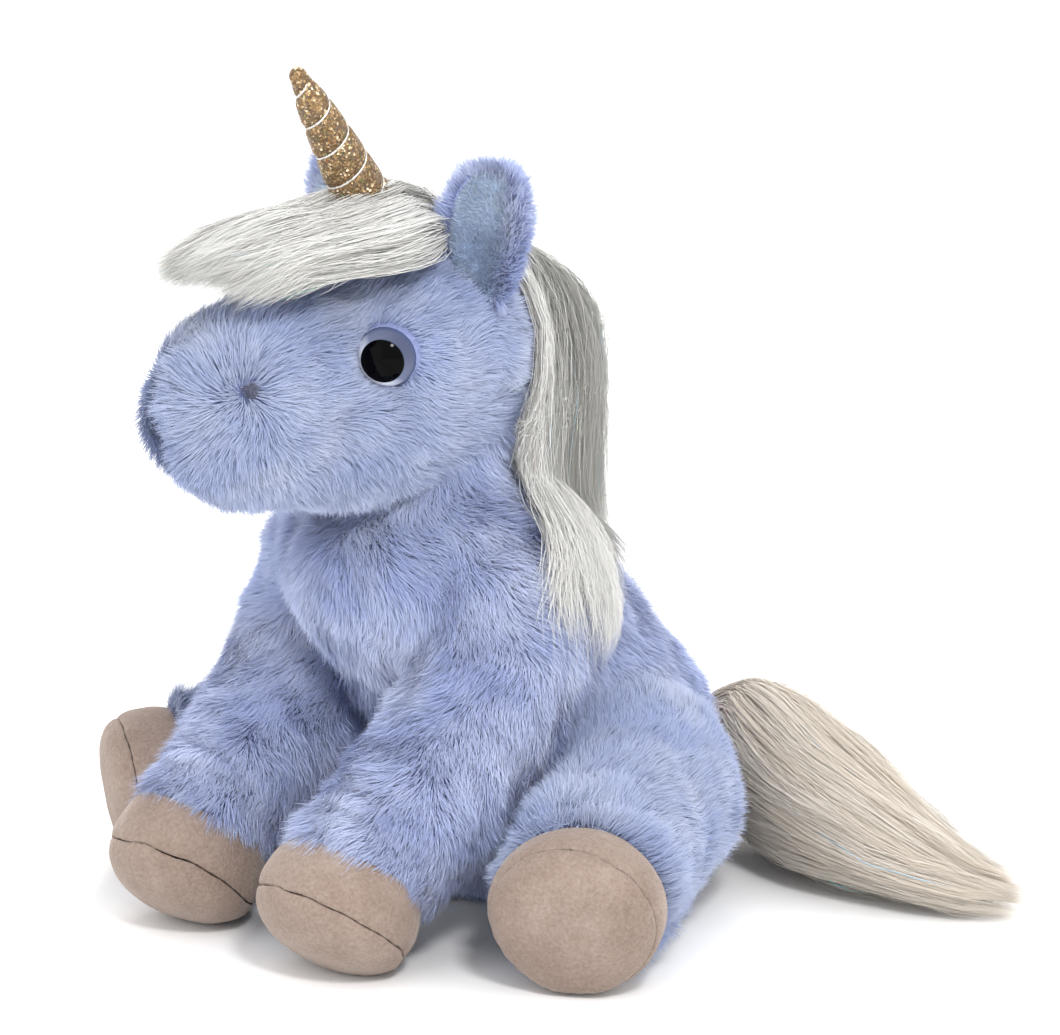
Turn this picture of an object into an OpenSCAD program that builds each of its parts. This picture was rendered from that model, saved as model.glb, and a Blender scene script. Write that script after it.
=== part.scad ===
// Plush unicorn, sitting, with stuffed limbs, a long-hair forelock, mane and tail.
// +Z is up and the unicorn looks along -Y, so its left side is +X. The origin is the middle of the
// flat seat under its rump. Lengths are in millimetres.
// Every stuffed form is a row of stations [x, y, z, half width, half depth] joined by a smooth skin.
// Outer faces lie half way up the pile.

/* [Fabric] */
// Thickness of the pile fabric of the body
cloth = 3; // [2:0.5:4]
// Thickness of the short velour of the hooves and ear linings
velour = 1.6; // [1.2:0.2:2.4]
// Clearance between pieces that move against each other
gap = 0.7; // [0.5:0.1:1.2]

/* [Torso] */
// Half width of the rump
rump_w = 50; // [46:1:54]
// Half depth of the rump, front to back
rump_d = 59; // [55:1:63]
// Half width of the chest
chest_w = 42; // [39:1:45]
// Height of the neck's pivot above the floor
neck_z = 152; // [150:1:156]
// Radius of the neck where the head turns on it
neck_r = 28; // [26:1:29]

/* [Head] */
// Length of the head, from the back of the skull to the nose
head_len = 135.5; // [130:0.5:140]
// Half width of the head at the cheeks
cheek_w = 37.5; // [36:0.5:39]
// Half height of the head at the cheeks
cheek_h = 38.5; // [37:0.5:40]
// Half width of the muzzle
muzzle_w = 26.5; // [25:0.5:28]
// Height of the head's middle line at the skull
head_z = 175; // [173:1:178]

/* [Face] */
// Diameter of each safety eye
eye_d = 18; // [16:1:20]
// Angle of each eye outwards from straight ahead
eye_turn = 32; // [26:1:40]
// Angle of each eye below the horizontal
eye_dip = 8; // [0:1:12]
// Length of the horn
horn_len = 70; // [60:1:76]
// Radius of the horn at its base
horn_r = 10.5; // [9.5:0.5:11]
// Radius of the horn near its tip
horn_tip_r = 3.8; // [3:0.2:5]
// Angle of the horn forwards from upright
horn_lean = 33.5; // [25:0.5:40]
// Turns of thread wound round the horn
thread_turns = 5; // [3:1:7]
// Length of each ear
ear_len = 41; // [36:1:44]
// Width of each ear
ear_w = 25; // [22:1:28]

/* [Legs] */
// Radius of the front legs
fore_r = 24.5; // [23:0.5:25.5]
// Radius of the thighs
thigh_r = 33; // [31:0.5:34]
// Half width of the front hooves
fore_hoof_r = 25; // [23:0.5:26]
// Half width of the rear hooves
rear_hoof_r = 27; // [25:0.5:28]
// Angle that a front leg lifts through
fore_lift = 24; // [10:1:28]
// Angle that a rear leg swings out through
rear_splay = 22; // [10:1:25]

/* [Hair] */
// Length of the tail's hair
tail_len = 142; // [120:1:150]
// Radius of the tail where it is fullest
tail_r = 25; // [20:1:27]

/* [Hidden] */

fur = "#9fabdc";
taupe = "#b8a597";
cream = "#e6e3da";
gold = "#b8904f";
fibre = "#f4f4f2";
// Space left between layers that only touch
seam = 0.15;
// Smallest half width of a skin
thin = 0.4;
// Corners round the skin of the torso and head, of a limb, and of a lock of hair
sides = 18;
limb_sides = 14;
lock_sides = 12;
X = [1, 0, 0];
Y = [0, 1, 0];
Z = [0, 0, 1];

// Stations from the seat up to the neck
torso_line = [
    [0, 0, 0, 0.72 * rump_w, 0.75 * rump_d],
    [0, -0.3, 9, 0.92 * rump_w, 0.92 * rump_d],
    [0, -2, 30, rump_w, rump_d],
    [0, -5, 54, 0.96 * rump_w, rump_d],
    [0, -22, 77, 0.90 * rump_w, 0.99 * rump_d],
    [0, -40, 99, chest_w, 0.94 * rump_d],
    [0, -52, 118, 0.90 * chest_w, 0.74 * rump_d],
    [0, -54, 132, 0.73 * chest_w, 0.53 * rump_d],
];
neck_pivot = [0, -54, neck_z];

// Stations from the back of the skull to the nose: [share of the length, rise, half width, half height]
head_back = -19;
skull = [for (s = [
    [0.01, 1, 0.22, 0.22], [0.06, 1, 0.55, 0.56], [0.16, 0, 0.84, 0.84], [0.29, -2, 0.98, 0.98],
    [0.41, -5, 1, 1], [0.52, -7, 0.97, 0.95], [0.62, -7, 0.85, 0.89]])
    [0, head_back - s[0] * head_len, head_z + s[1], s[2] * cheek_w, s[3] * cheek_h]];
muzzle = [for (s = [
    [0.72, -7.5, 1.02, 0.84], [0.81, -8.5, 1, 0.78], [0.885, -10, 0.94, 0.69], [0.95, -11.5, 0.72, 0.51],
    [0.985, -12.5, 0.44, 0.31], [0.998, -13, 0.16, 0.11]])
    [0, head_back - s[0] * head_len, head_z + s[1], s[2] * muzzle_w, s[3] * cheek_h]];

// A front leg hangs from the shoulder to its hoof, and a rear leg lies from the hip to its hoof
fore_shoulder = [44, -52, 98];
fore_leg = [
    concat(fore_shoulder, [fore_r, fore_r]),
    [42, -61, 82, fore_r, fore_r],
    [38.4, -75, 62, 0.99 * fore_r, 0.99 * fore_r],
    [35.8, -95, 43, 0.98 * fore_r, 0.97 * fore_r],
    [34.5, -108, 33.5, 0.94 * fore_r, 0.9 * fore_r],
];
fore_hoof = [34, -122, 20.4];
fore_pitch = 35;
rear_hip = [50, -14, 36];
rear_leg = [
    concat(rear_hip, [thigh_r, thigh_r]),
    [60.2, -29.2, 34, 0.91 * thigh_r, 0.96 * thigh_r],
    [71.4, -46, 31.5, 0.83 * thigh_r, 0.88 * thigh_r],
    [80, -61, 29, 0.81 * thigh_r, 0.82 * thigh_r],
    [88, -72, 27, 0.79 * thigh_r, 0.77 * thigh_r],
];
rear_hoof = [95, -83, 24.6];
rear_turn = 32;
rear_dip = 9;
fore_axis = [0, -sin(fore_pitch), -cos(fore_pitch)];
rear_axis = [sin(rear_turn) * cos(rear_dip), -cos(rear_turn) * cos(rear_dip), -sin(rear_dip)];

eye_place = [29.5, -97, 181];
eye_rise = 6.5;
stem_r = 2.2;
washer_r = 6.5;
eye_pad_deep = 6.4;
nostril_place = [20.8, -142.7, 176];
horn_place = [0, -67, 206];
horn_skin = 0.8;
horn_play = 9;
ear_place = [27.5, -58.5, 194];
ear_lean = 12;
ear_turn = 14;
ear_cup = 17;
ear_thick = 4;
ear_fold = 24;
ear_perk = 8;
tail_place = [0, 61.8, 33];
tail_line = [
    [3, 62.8, 33, 5, 6], [12, 67.5, 33, 9, 14], [26, 68, 31, 0.64 * tail_r, 0.9 * tail_r],
    [44, 62, 28, 0.84 * tail_r, tail_r], [0.46 * tail_len, 54, 25.5, 0.96 * tail_r, 0.98 * tail_r],
    [0.62 * tail_len, 49, 21, 0.9 * tail_r, 0.8 * tail_r], [0.8 * tail_len, 51, 14, 0.68 * tail_r, 0.5 * tail_r],
    [0.92 * tail_len, 57, 8, 0.42 * tail_r, 0.28 * tail_r], [tail_len, 63, 5, 0.12 * tail_r, 0.1 * tail_r],
];

function unit(v) = v / norm(v);
function at(s) = [s[0], s[1], s[2]];

// Catmull-Rom curve through four stations
function between(a, b, c, d, t) =
    0.5 * (2 * b + (c - a) * t + (2 * a - 5 * b + 4 * c - d) * t * t
    + (3 * b - a - 3 * c + d) * t * t * t);
function smooth(line, steps) = let (n = len(line)) [
    for (i = [0 : n - 2], k = [0 : steps - 1])
        between(line[max(i - 1, 0)], line[i], line[i + 1], line[min(i + 2, n - 1)], k / steps),
    line[n - 1]];

// Stations that round off the start of a line like half a ball
function ball_end(line) =
    let (s = line[0], d = unit(at(s) - at(line[1])))
    [for (a = [80, 55, 28]) concat(at(s) + d * s[3] * sin(a), [s[3] * cos(a), s[4] * cos(a)])];

// Stations of a hoof along its axis, which is half high, half deep and half wide across it
function hoof_part(middle, axis, wide, deep, high, heights) = [for (h = heights)
    let (k = sqrt(max(0.02, 1 - pow(h / high, 2)))) concat(middle + axis * h, [wide * k, deep * k])];

// Rings are stations with the way that each faces: [place, heading, half width, half depth]
function rings(line) = [for (i = [0 : len(line) - 1])
    [at(line[i]), unit(at(line[min(i + 1, len(line) - 1)]) - at(line[max(i - 1, 0)])), line[i][3], line[i][4]]];
function level_rings(line) = [for (s = line) [at(s), Z, s[3], s[4]]];
function part_of(list, first, last) = [for (i = [first : last]) list[i]];

// Closed skin through rings. aim is the way that the half depth points, and grow moves the skin out
// along its own slope.
module skin(rings, aim, around, grow = 0) {
    last = len(rings) - 1;
    points = [for (i = [0 : last])
        let (r = rings[i], deep = unit(aim - (aim * r[1]) * r[1]), wide = cross(deep, r[1]),
            a = rings[max(i - 1, 0)], b = rings[min(i + 1, last)],
            slope = unit([norm(b[0] - a[0]), (a[2] + a[3] - b[2] - b[3]) / 2]),
            out = i == 0 ? -grow : i == last ? grow : grow * slope[1],
            side = i == 0 || i == last ? grow : grow * slope[0])
        for (k = [0 : around - 1])
            r[0] + r[1] * out
            + wide * max(thin, r[2] + side) * cos(360 * k / around)
            + deep * max(thin, r[3] + side) * sin(360 * k / around)];
    walls = [for (i = [0 : last - 1], k = [0 : around - 1])
        let (n = (k + 1) % around, a = i * around, b = a + around)
        each [[a + k, b + k, a + n], [a + n, b + k, b + n]]];
    low = [for (k = [0 : around - 1]) k];
    high = [for (k = [around - 1 : -1 : 0]) last * around + k];
    polyhedron(points, concat([low, high], walls));
}

module on(side) {
    if (side > 0) children();
    else mirror(X) children();
}

// Turns its children by angle about an axis through the place
module turned(angle, axis, place) {
    translate(place) rotate(a = angle, v = axis) translate(-place) children();
}

// A lock of hair through points [x, y, z, radius]
module lock(points) {
    for (i = [0 : len(points) - 2]) hull() {
        translate(at(points[i])) sphere(points[i][3], $fn = lock_sides);
        translate(at(points[i + 1])) sphere(points[i + 1][3], $fn = lock_sides);
    }
}

// --- whole forms, before one is cut clear of another ---

torso_rings = level_rings(smooth(torso_line, 2));
head_rings = rings(smooth(concat(skull, muzzle), 2));
fore_line = smooth(fore_leg, 2);
fore_rings = rings(concat(ball_end(fore_leg), fore_line,
    hoof_part(fore_hoof, fore_axis, fore_hoof_r, 0.96 * fore_hoof_r, 18, [-8, -3, 1, 5]),
    hoof_part(fore_hoof, fore_axis, fore_hoof_r, 0.96 * fore_hoof_r, 18, [10, 14, 17, 18])));
fore_top = 2 + len(fore_line);
rear_line = smooth(rear_leg, 2);
rear_rings = rings(concat(ball_end(rear_leg), rear_line,
    hoof_part(rear_hoof, rear_axis, rear_hoof_r, 0.91 * rear_hoof_r, 17, [-5, 0, 5, 10]),
    hoof_part(rear_hoof, rear_axis, rear_hoof_r, 0.91 * rear_hoof_r, 17, [13, 16, 17])));
rear_top = 2 + len(rear_line);
fore_seam = fore_top + 4;
rear_seam = rear_top + 4;

module torso_form(grow = 0) {
    skin(torso_rings, Y, sides, grow);
    translate(neck_pivot) sphere(neck_r + grow, $fn = 24);
    translate([0, neck_pivot[1], 128]) cylinder(h = neck_z - 128, r = neck_r + grow, $fn = 24);
}
module head_form(grow = 0) skin(head_rings, Z, sides, grow);
module fore_form(grow = 0) skin(fore_rings, Y, limb_sides, grow);
module rear_form(grow = 0) skin(rear_rings, Z, limb_sides, grow);

// Space that the neck needs inside the head while the head turns and nods
module neck_space(grow) {
    hull() {
        translate(neck_pivot) sphere(neck_r + grow, $fn = 24);
        translate([0, neck_pivot[1], 130]) cylinder(h = 1, r = 40 + grow, $fn = 24);
        translate([0, neck_pivot[1], 112]) cylinder(h = 1, r = 53 + grow, $fn = 24);
    }
}

// Space that the legs of both sides sweep through, as hulls between neighbouring angles
module fore_sweep(grow) {
    upper = [for (i = [0, 1, 2, 3, 5, 7, 9]) fore_rings[i]];
    for (side = [-1, 1]) on(side)
        for (a = [0, fore_lift / 2]) hull() {
            turned(-a, X, fore_shoulder) skin(upper, Y, limb_sides, grow);
            turned(-a - fore_lift / 2, X, fore_shoulder) skin(upper, Y, limb_sides, grow);
        }
}
module rear_sweep(grow) {
    thigh = [for (i = [0, 1, 2, 3, 5, 7, 9]) rear_rings[i]];
    for (side = [-1, 1]) on(side)
        for (a = [0, rear_splay / 2]) hull() {
            turned(a, Z, rear_hip) skin(thigh, Z, limb_sides, grow);
            turned(a + rear_splay / 2, Z, rear_hip) skin(thigh, Z, limb_sides, grow);
        }
}

// --- torso and neck ---

module torso_cover() {
    color(fur) difference() {
        torso_form();
        torso_form(-cloth);
        fore_sweep(gap);
        rear_sweep(gap);
    }
}
module torso_filling() {
    inset = cloth + seam;
    color(fibre) difference() {
        torso_form(-inset);
        neck_plug_form(gap);
        fore_sweep(gap);
        rear_sweep(gap);
        pouch_form(seam);
    }
}

// Bag of plastic pellets that weighs down the rump
module pouch_form(grow = 0) {
    wide = 19;
    high = 15;
    low = cloth + seam;
    translate([0, 27, low - grow]) rotate_extrude($fn = 32)
        polygon(concat([[0, 0], [0.7 * wide + grow, 0]],
            [for (a = [-20 : 10 : 90]) [(wide + grow) * cos(a), grow + high / 2 + (grow + high / 2) * sin(a)]]));
}
module pellet_pouch() {
    color("#d8d2c4") pouch_form();
}

// Firm plug of stuffing inside the neck, which turns with the head
module neck_plug_form(grow = 0) {
    r = neck_r - cloth - gap;
    foot = 134;
    hull() {
        translate(neck_pivot) sphere(r + grow, $fn = 24);
        translate([0, neck_pivot[1], foot - grow]) cylinder(h = neck_z - foot, r = r + grow, $fn = 24);
    }
}
module neck_filling() {
    r = neck_r - cloth - gap;
    foot = 134;
    color(fibre) translate([0, neck_pivot[1], foot]) rotate_extrude($fn = 48)
        polygon(concat([[0, 0], [r, 0]], [for (a = [0 : 10 : 90]) [r * cos(a), neck_z - foot + r * sin(a)]]));
}

// --- head ---

// Places its children on an eye's axis, with +Z out of the face
module eye_frame(side) {
    on(side) translate(eye_place) rotate([90 + eye_dip, 0, eye_turn]) children();
}
module eye_recess() {
    for (side = [-1, 1]) eye_frame(side) {
        cylinder(h = 20, r = eye_d / 2 + 0.4, $fn = 28);
        translate([0, 0, -eye_pad_deep - 1]) cylinder(h = eye_pad_deep + 2, r = stem_r + 0.2, $fn = 16);
    }
}
// Gathered cloth that backs each eye
module eye_pad(grow = 0) {
    for (side = [-1, 1]) eye_frame(side) hull() {
        translate([0, 0, -eye_pad_deep - grow]) cylinder(h = 0.5, r = 9 + grow, $fn = 24);
        translate([0, 0, 8]) cylinder(h = 0.5, r = 12.5 + grow, $fn = 24);
    }
}
module washer_space() {
    for (side = [-1, 1]) eye_frame(side)
        translate([0, 0, -20]) cylinder(h = 20 - eye_pad_deep + seam, r = washer_r + 0.4, $fn = 24);
}
// Space that a folding ear and the bending horn need in the head
module ear_space(grow, high = 13) {
    step = (ear_fold + ear_perk) / 2;
    for (side = [-1, 1]) ear_frame(side)
        for (a = [-ear_fold, step - ear_fold]) hull() {
            rotate([a, 0, 0]) ear_root(grow, high);
            rotate([a + step, 0, 0]) ear_root(grow, high);
        }
}
module horn_space(grow) {
    hull() {
        translate(horn_place) sphere(horn_r + grow, $fn = 24);
        turned(horn_lean, X, horn_place) translate(horn_place + 26 * Z)
            cylinder(h = 1, r = horn_r + 3 + grow, $fn = 24);
    }
}
module head_cover() {
    color(fur) difference() {
        union() {
            difference() {
                head_form();
                head_form(-cloth);
            }
            intersection() {
                head_form();
                eye_pad();
            }
        }
        eye_recess();
        neck_space(gap);
        ear_space(gap);
        horn_space(gap);
        washer_space();
        for (side = [-1, 1]) nostril_form(side, seam);
    }
}
module head_filling() {
    color(fibre) difference() {
        head_form(-cloth - seam);
        neck_space(gap);
        ear_space(gap);
        horn_space(gap);
        eye_pad(seam);
        washer_space();
    }
}
module nostril_form(side, grow = 0) {
    on(side) translate(nostril_place) sphere(2 + grow, $fn = 20);
}

// --- face ---

module eye(side) {
    dome_r = (pow(eye_d / 2, 2) + pow(eye_rise, 2)) / (2 * eye_rise);
    color("#17171a") eye_frame(side) {
        intersection() {
            translate([0, 0, eye_rise - dome_r]) sphere(dome_r, $fn = 48);
            cylinder(h = 10, r = eye_d, $fn = 48);
        }
        translate([0, 0, -14]) cylinder(h = 15, r = stem_r, $fn = 24);
    }
}
module eye_washer(side) {
    color("#e8e8e8") eye_frame(side) translate([0, 0, -eye_pad_deep - 1.8]) difference() {
        cylinder(h = 1.6, r = washer_r, $fn = 32);
        translate([0, 0, -1]) cylinder(h = 4, r = stem_r + 0.05, $fn = 24);
    }
}
module nostril(side) {
    color("#4a4f63") nostril_form(side);
}

// --- horn ---

function horn_radius(h) = horn_r + (horn_tip_r - horn_r) * h / (horn_len - horn_tip_r);
module horn_form(inset) {
    tip = horn_len - horn_tip_r;
    turned(horn_lean, X, horn_place) translate(horn_place) rotate_extrude($fn = 40)
        polygon(concat(
            [for (a = [-90 : 18 : 0]) (horn_r - inset) * [cos(a), sin(a)]],
            [for (a = [0 : 18 : 90]) (horn_tip_r - inset) * [cos(a), sin(a)] + [0, tip]]));
}
module horn_cover() {
    color(gold) difference() {
        horn_form(0);
        horn_form(horn_skin);
    }
}
module horn_filling() {
    color(fibre) horn_form(horn_skin + seam);
}
// Round thread that spirals up the horn
module horn_thread() {
    thread = 0.45;
    steps = 14;
    low = 12;
    high = horn_len - 6;
    last = thread_turns * steps;
    spiral = [for (i = [0 : last])
        let (h = low + (high - low) * i / last, r = horn_radius(h) + thread + 0.08, a = 360 * i / steps)
        concat([r * cos(a), r * sin(a), h], [thread, thread])];
    color("white") turned(horn_lean, X, horn_place) translate(horn_place)
        skin(rings(spiral), Z, 5);
}

// --- ears ---

module ear_frame(side) {
    on(side) translate(ear_place) rotate([0, ear_lean, 0]) rotate([0, 0, ear_turn]) children();
}
// Block round the lower part of a cupped ear
module ear_root(grow, high) {
    translate([-ear_w / 2 - grow, 2 - ear_cup / 2 - grow, -grow])
        cube([ear_w + 2 * grow, ear_cup / 2 + ear_thick + 2 * grow, high]);
}
// Leaf outline of an ear
module leaf(inset) {
    wide = ear_w / 2 - inset;
    belly = 0.5 * ear_len;
    polygon(concat(
        [[0.62 * wide, inset]],
        [for (a = [0 : 10 : 180]) [wide * cos(a), belly + (ear_len - belly - inset) * pow(sin(a), 0.8)]],
        [[-0.62 * wide, inset]]));
}
// Layer of a cupped ear, open forwards, at a depth behind the lining's face
module ear_layer(inset, depth, thick) {
    intersection() {
        translate([0, 40, 0]) rotate([90, 0, 0]) linear_extrude(80) leaf(inset);
        translate([0, -ear_cup, 0]) rotate_extrude($fn = 72)
            translate([ear_cup + depth, 0]) square([thick, ear_len]);
        translate([-ear_w, 0.35 * ear_w - ear_cup, 0]) cube([2 * ear_w, 40, ear_len]);
    }
}
module ear_back(side) {
    color(fur) ear_frame(side) ear_layer(0, velour + seam, ear_thick);
}
module ear_lining(side) {
    color("#a9c3e0") ear_frame(side) ear_layer(2, 0, velour);
}

// --- hair ---

module forelock() {
    color(cream) difference() {
        union() {
            for (side = [-1, 1]) on(side) {
                lock([[16, -60, 211, 8], [20, -88, 208, 11], [12, -132, 210, 8]]);
                lock([[25, -68, 206, 7], [27, -90, 202, 7], [20, -114, 205, 6]]);
            }
            lock([[0, -98, 213, 10], [0, -128, 213, 9], [0, -156, 211, 4]]);
            lock([[-14, -52, 213, 7], [14, -52, 213, 7]]);
        }
        head_form(seam);
        horn_space(gap);
        ear_space(gap, ear_len);
    }
}
module mane() {
    color(cream) difference() {
        union() {
            lock([[0, -38, 213, 7], [0, -17, 200, 10], [0, -7, 176, 11], [0, -3, 152, 9]]);
            for (side = [-1, 1]) on(side)
                lock([[13, -34, 208, 7], [15, -20, 193, 9], [17, -12, 172, 10], [19, -9, 151, 8]]);
        }
        head_form(seam);
        ear_space(gap, ear_len);
    }
}
module mane_fall() {
    color(cream) difference() {
        union() {
            lock([[-20, -16, 122, 7], [0, -8, 122, 8], [20, -16, 122, 7]]);
            lock([[0, -8, 122, 8], [0, 9, 108, 8], [0, 20, 97, 4]]);
            for (side = [-1, 1]) on(side) {
                lock([[14, -12, 122, 8], [19, 5, 106, 8], [22, 13, 92, 4]]);
                lock([[22, -18, 120, 8], [34, -12, 102, 8], [42, -14, 86, 4]]);
            }
        }
        torso_form(seam);
        fore_sweep(gap);
    }
}
module tail_base() {
    color(fur) translate(tail_place) sphere(4, $fn = 28);
}
module tail_hair() {
    color(cream) difference() {
        skin(rings(smooth(tail_line, 2)), Z, limb_sides);
        translate(tail_place) sphere(4 + seam, $fn = 28);
    }
}

// --- legs ---

module leg_cover(rings, top, aim) {
    color(fur) difference() {
        skin(part_of(rings, 0, top), aim, limb_sides);
        skin(rings, aim, limb_sides, -cloth);
    }
}
module hoof_band(rings, top, edge, aim) {
    color(taupe) difference() {
        skin(part_of(rings, top, edge), aim, limb_sides);
        skin(rings, aim, limb_sides, -cloth);
    }
}
module hoof_sole(rings, edge, aim) {
    color(taupe) difference() {
        skin(part_of(rings, edge, len(rings) - 1), aim, limb_sides);
        skin(rings, aim, limb_sides, -cloth);
    }
}
module leg_filling(rings, aim) {
    color(fibre) skin(rings, aim, limb_sides, -cloth - seam);
}
module front_leg_cover(side) on(side) leg_cover(fore_rings, fore_top, Y);
module front_hoof(side) on(side) hoof_band(fore_rings, fore_top, fore_seam, Y);
module front_sole(side) on(side) hoof_sole(fore_rings, fore_seam, Y);
module front_leg_filling(side) on(side) leg_filling(fore_rings, Y);
module rear_leg_cover(side) on(side) leg_cover(rear_rings, rear_top, Z);
module rear_hoof_band(side) on(side) hoof_band(rear_rings, rear_top, rear_seam, Z);
module rear_sole(side) on(side) hoof_sole(rear_rings, rear_seam, Z);
module rear_leg_filling(side) on(side) leg_filling(rear_rings, Z);

// --- nodes ---

torso_cover();
torso_filling();
pellet_pouch();
neck_filling();
head_cover();
head_filling();
ear_back(1);  // ear_left_back
ear_lining(1);  // ear_left_lining
ear_back(-1);  // ear_right_back
ear_lining(-1);  // ear_right_lining
horn_cover();
horn_filling();
horn_thread();
forelock();
mane();
mane_fall();
eye(1);  // eye_left
eye(-1);  // eye_right
eye_washer(1);  // eye_washer_left
eye_washer(-1);  // eye_washer_right
nostril(1);  // nostril_left
nostril(-1);  // nostril_right
front_leg_cover(1);  // front_leg_left_cover
front_leg_filling(1);  // front_leg_left_filling
front_hoof(1);  // front_hoof_left
front_sole(1);  // front_sole_left
front_leg_cover(-1);  // front_leg_right_cover
front_leg_filling(-1);  // front_leg_right_filling
front_hoof(-1);  // front_hoof_right
front_sole(-1);  // front_sole_right
rear_leg_cover(1);  // rear_leg_left_cover
rear_leg_filling(1);  // rear_leg_left_filling
rear_hoof_band(1);  // rear_hoof_left
rear_sole(1);  // rear_sole_left
rear_leg_cover(-1);  // rear_leg_right_cover
rear_leg_filling(-1);  // rear_leg_right_filling
rear_hoof_band(-1);  // rear_hoof_right
rear_sole(-1);  // rear_sole_right
tail_base();
tail_hair();
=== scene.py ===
"""Plush unicorn, sitting: fur, long hair, velour hooves and ears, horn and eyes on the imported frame."""
import math

import bpy
import numpy as np
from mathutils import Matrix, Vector
from mathutils.bvhtree import BVHTree
from mathutils.kdtree import KDTree


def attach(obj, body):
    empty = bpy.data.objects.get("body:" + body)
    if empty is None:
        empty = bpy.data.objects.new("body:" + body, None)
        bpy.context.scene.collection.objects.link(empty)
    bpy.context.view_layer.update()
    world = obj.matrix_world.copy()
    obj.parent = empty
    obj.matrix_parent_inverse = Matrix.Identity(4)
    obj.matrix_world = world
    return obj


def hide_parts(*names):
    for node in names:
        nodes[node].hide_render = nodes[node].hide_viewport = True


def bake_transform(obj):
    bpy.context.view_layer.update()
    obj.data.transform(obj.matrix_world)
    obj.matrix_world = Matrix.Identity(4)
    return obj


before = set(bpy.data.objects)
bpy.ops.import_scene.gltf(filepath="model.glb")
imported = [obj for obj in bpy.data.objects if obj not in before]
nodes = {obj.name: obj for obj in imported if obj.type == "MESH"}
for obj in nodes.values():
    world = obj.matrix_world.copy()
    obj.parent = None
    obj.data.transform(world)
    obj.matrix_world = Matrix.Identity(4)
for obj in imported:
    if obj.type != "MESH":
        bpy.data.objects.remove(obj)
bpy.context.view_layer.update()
MM = 0.001
X = np.array([1.0, 0, 0])
Y = np.array([0, 1.0, 0])
Z = np.array([0, 0, 1.0])
FUR_DENSITY = 5.4
FUR_WIDTH = ((0.135, 0.12, 0.0))
HAIR_SHARE = 1.0
HAIR_WIDTH = 0.12
LIMIT = 190000  # triangles in one piece of fur or hair
SKIN_DEPTH = 3.2  # from the outline of a form down to the skin under its pile
LOWEST = 0.3  # height of the lowest point of a skin or hoof
SIDES = ((1, "left"), (-1, "right"))
MIRRORS = (np.array([-1, 1, 1]), np.array([1, 1, 1]))


# --- numbers and vectors (millimetres until a mesh is made) ---

def unit(v):
    v = np.asarray(v, float)
    return v / np.maximum(np.linalg.norm(v, axis=-1, keepdims=True), 1e-9)


def spin(v, axis, angle):
    """v turned about unit axis by angle, row by row."""
    c, s = np.cos(angle)[..., None], np.sin(angle)[..., None]
    return v * c + np.cross(axis, v) * s + axis * np.sum(axis * v, -1, keepdims=True) * (1 - c)


def wave(p, size, seed):
    """Smooth random field from -1 to 1 whose bumps are about size across."""
    rng = np.random.default_rng(seed)
    total = np.zeros(len(p))
    for _ in range(7):
        k = unit(rng.normal(size=3)) * (2 * math.pi / size) * rng.uniform(0.4, 1.1)
        total += np.sin(p @ k + rng.uniform(0, 6.28))
    return np.clip(total / 2.6, -1, 1)


def near(x, middle, width):
    return np.exp(-(((x - middle) / width) ** 2))


def step(x, low, high):
    t = np.clip((x - low) / (high - low), 0, 1)
    return t * t * (3 - 2 * t)


def spline(a, b, c, d, t):
    """Catmull-Rom curve from b to c."""
    return 0.5 * (2 * b + (c - a) * t + (2 * a - 5 * b + 4 * c - d) * t * t
        + (3 * b - a - 3 * c + d) * t ** 3)


def smooth(line, steps):
    """Catmull-Rom curve through the stations."""
    line = np.array(line, float)
    n, out = len(line), []
    for i in range(n - 1):
        a, b, c, d = line[max(i - 1, 0)], line[i], line[i + 1], line[min(i + 2, n - 1)]
        for k in range(steps):
            out.append(spline(a, b, c, d, k / steps))
    return np.array(out + [line[-1]])


def tangents(points):
    t = np.empty_like(points)
    t[1:-1] = points[2:] - points[:-2]
    t[0], t[-1] = points[1] - points[0], points[-1] - points[-2]
    return unit(t)


def nearest_head(points, heads):
    """For each point, the number of the head that it lies nearest to."""
    tree = KDTree(len(heads))
    for i, h in enumerate(heads):
        tree.insert(Vector(points[h]), i)
    tree.balance()
    return np.array([tree.find(Vector(q))[1] for q in points])


def heading(turn, dip):
    """The way forward, turned out and dipped by these degrees."""
    turn, dip = math.radians(turn), math.radians(dip)
    return np.array([math.sin(turn) * math.cos(dip), -math.cos(turn) * math.cos(dip), -math.sin(dip)])


def mirrored(line, side):
    line = np.array(line, float)
    line[:, 0] *= side
    return line


# --- forms ---

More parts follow.
